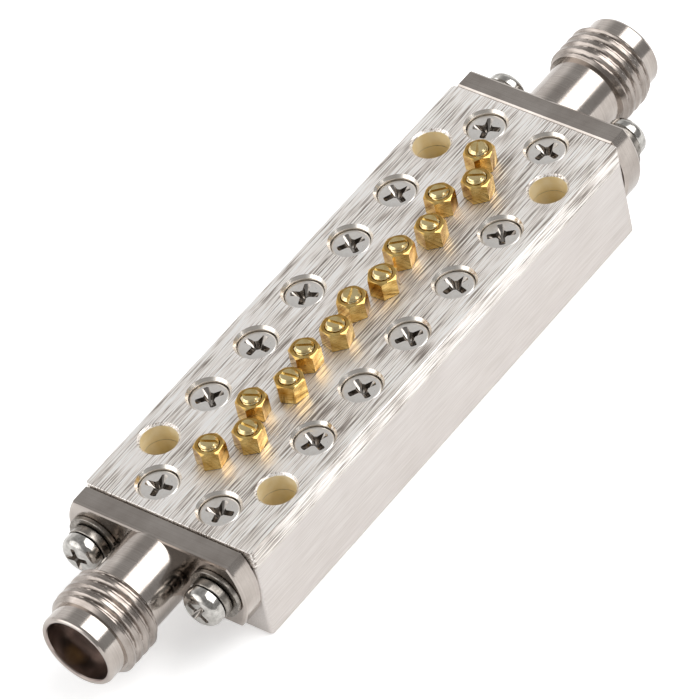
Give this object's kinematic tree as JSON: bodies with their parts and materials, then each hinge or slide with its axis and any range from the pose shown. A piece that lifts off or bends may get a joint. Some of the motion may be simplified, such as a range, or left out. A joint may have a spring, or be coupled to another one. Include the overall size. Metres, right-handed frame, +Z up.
{
  "type": "rf cavity filter",
  "caption": "Slim plated metal filter block with a screwed lid, slotted tuning screws locked by hexagon nuts, and a flanged threaded coaxial jack on each end.",
  "frame": {"origin": "centre of the whole filter in plan, at the block's bottom face", "axes": "+X along the filter from the near jack to the far jack, +Y across it, +Z up towards the tuning screws"},
  "size_m": [0.0594, 0.0138, 0.0091],
  "materials": {
    "silver_plated_block": "brushed silver plate",
    "silver_plated_lid": "brushed silver plate",
    "screw_steel": "bright nickel plate",
    "tuner_brass": "turned",
    "nut_brass": "turned and milled",
    "stainless_steel": "turned and passivated",
    "fluoropolymer": "machined",
    "gold_plated_contact": "gold plate",
    "washer_steel": "plain"
  },
  "bodies": {
    "housing": {"body_block": "silver_plated_block", "lid": "silver_plated_lid", "lid_screw_01": "screw_steel", "lid_screw_02": "screw_steel", "lid_screw_03": "screw_steel", "lid_screw_04": "screw_steel", "lid_screw_05": "screw_steel", "lid_screw_06": "screw_steel", "lid_screw_07": "screw_steel", "lid_screw_08": "screw_steel", "lid_screw_09": "screw_steel", "lid_screw_10": "screw_steel", "lid_screw_11": "screw_steel", "lid_screw_12": "screw_steel", "lid_screw_13": "screw_steel", "lid_screw_14": "screw_steel", "cavity_lock_nut_1": "nut_brass", "cavity_lock_nut_2": "nut_brass", "cavity_lock_nut_3": "nut_brass", "cavity_lock_nut_4": "nut_brass", "cavity_lock_nut_5": "nut_brass", "cavity_lock_nut_6": "nut_brass", "cavity_lock_nut_7": "nut_brass", "iris_lock_nut_1": "nut_brass", "iris_lock_nut_2": "nut_brass", "iris_lock_nut_3": "nut_brass", "iris_lock_nut_4": "nut_brass", "iris_lock_nut_5": "nut_brass", "iris_lock_nut_6": "nut_brass", "near_jack_shell": "stainless_steel", "near_jack_insulator": "fluoropolymer", "near_jack_contact": "gold_plated_contact", "far_jack_shell": "stainless_steel", "far_jack_insulator": "fluoropolymer", "far_jack_contact": "gold_plated_contact", "flange_screw_1": "screw_steel", "flange_screw_2": "screw_steel", "flange_screw_3": "screw_steel", "flange_screw_4": "screw_steel", "flat_washer_1": "washer_steel", "flat_washer_2": "washer_steel", "flat_washer_3": "washer_steel", "flat_washer_4": "washer_steel", "spring_washer_1": "washer_steel", "spring_washer_2": "washer_steel", "spring_washer_3": "washer_steel", "spring_washer_4": "washer_steel"},
    "cavity_tuner_body_1": {"cavity_tuner_1": "tuner_brass"},
    "cavity_tuner_body_2": {"cavity_tuner_2": "tuner_brass"},
    "cavity_tuner_body_3": {"cavity_tuner_3": "tuner_brass"},
    "cavity_tuner_body_4": {"cavity_tuner_4": "tuner_brass"},
    "cavity_tuner_body_5": {"cavity_tuner_5": "tuner_brass"},
    "cavity_tuner_body_6": {"cavity_tuner_6": "tuner_brass"},
    "cavity_tuner_body_7": {"cavity_tuner_7": "tuner_brass"},
    "iris_tuner_body_1": {"iris_tuner_1": "tuner_brass"},
    "iris_tuner_body_2": {"iris_tuner_2": "tuner_brass"},
    "iris_tuner_body_3": {"iris_tuner_3": "tuner_brass"},
    "iris_tuner_body_4": {"iris_tuner_4": "tuner_brass"},
    "iris_tuner_body_5": {"iris_tuner_5": "tuner_brass"},
    "iris_tuner_body_6": {"iris_tuner_6": "tuner_brass"}
  },
  "joints": [
    {"name": "cavity_tuner_turn_1", "type": "hinge", "parent": "housing", "child": "cavity_tuner_body_1", "pos_m": [-0.0145, 0.00026, 0.0074], "axis": [0, 0, 1], "range_deg": [-270, 270]},
    {"name": "cavity_tuner_turn_2", "type": "hinge", "parent": "housing", "child": "cavity_tuner_body_2", "pos_m": [-0.0101, 0.00026, 0.0074], "axis": [0, 0, 1], "range_deg": [-270, 270]},
    {"name": "cavity_tuner_turn_3", "type": "hinge", "parent": "housing", "child": "cavity_tuner_body_3", "pos_m": [-0.00505, -0.00016, 0.0074], "axis": [0, 0, 1], "range_deg": [-270, 270]},
    {"name": "cavity_tuner_turn_4", "type": "hinge", "parent": "housing", "child": "cavity_tuner_body_4", "pos_m": [0, -0.00016, 0.0074], "axis": [0, 0, 1], "range_deg": [-270, 270]},
    {"name": "cavity_tuner_turn_5", "type": "hinge", "parent": "housing", "child": "cavity_tuner_body_5", "pos_m": [0.00505, -0.00016, 0.0074], "axis": [0, 0, 1], "range_deg": [-270, 270]},
    {"name": "cavity_tuner_turn_6", "type": "hinge", "parent": "housing", "child": "cavity_tuner_body_6", "pos_m": [0.0101, 0.00026, 0.0074], "axis": [0, 0, 1], "range_deg": [-270, 270]},
    {"name": "cavity_tuner_turn_7", "type": "hinge", "parent": "housing", "child": "cavity_tuner_body_7", "pos_m": [0.0145, 0.00026, 0.0074], "axis": [0, 0, 1], "range_deg": [-270, 270]},
    {"name": "iris_tuner_turn_1", "type": "hinge", "parent": "housing", "child": "iris_tuner_body_1", "pos_m": [-0.0123, -0.00114, 0.0074], "axis": [0, 0, 1], "range_deg": [-270, 270]},
    {"name": "iris_tuner_turn_2", "type": "hinge", "parent": "housing", "child": "iris_tuner_body_2", "pos_m": [-0.00758, -0.00084, 0.0074], "axis": [0, 0, 1], "range_deg": [-270, 270]},
    {"name": "iris_tuner_turn_3", "type": "hinge", "parent": "housing", "child": "iris_tuner_body_3", "pos_m": [-0.00252, -0.00074, 0.0074], "axis": [0, 0, 1], "range_deg": [-270, 270]},
    {"name": "iris_tuner_turn_4", "type": "hinge", "parent": "housing", "child": "iris_tuner_body_4", "pos_m": [0.00252, -0.00074, 0.0074], "axis": [0, 0, 1], "range_deg": [-270, 270]},
    {"name": "iris_tuner_turn_5", "type": "hinge", "parent": "housing", "child": "iris_tuner_body_5", "pos_m": [0.00758, -0.00084, 0.0074], "axis": [0, 0, 1], "range_deg": [-270, 270]},
    {"name": "iris_tuner_turn_6", "type": "hinge", "parent": "housing", "child": "iris_tuner_body_6", "pos_m": [0.0123, -0.00114, 0.0074], "axis": [0, 0, 1], "range_deg": [-270, 270]}
  ]
}
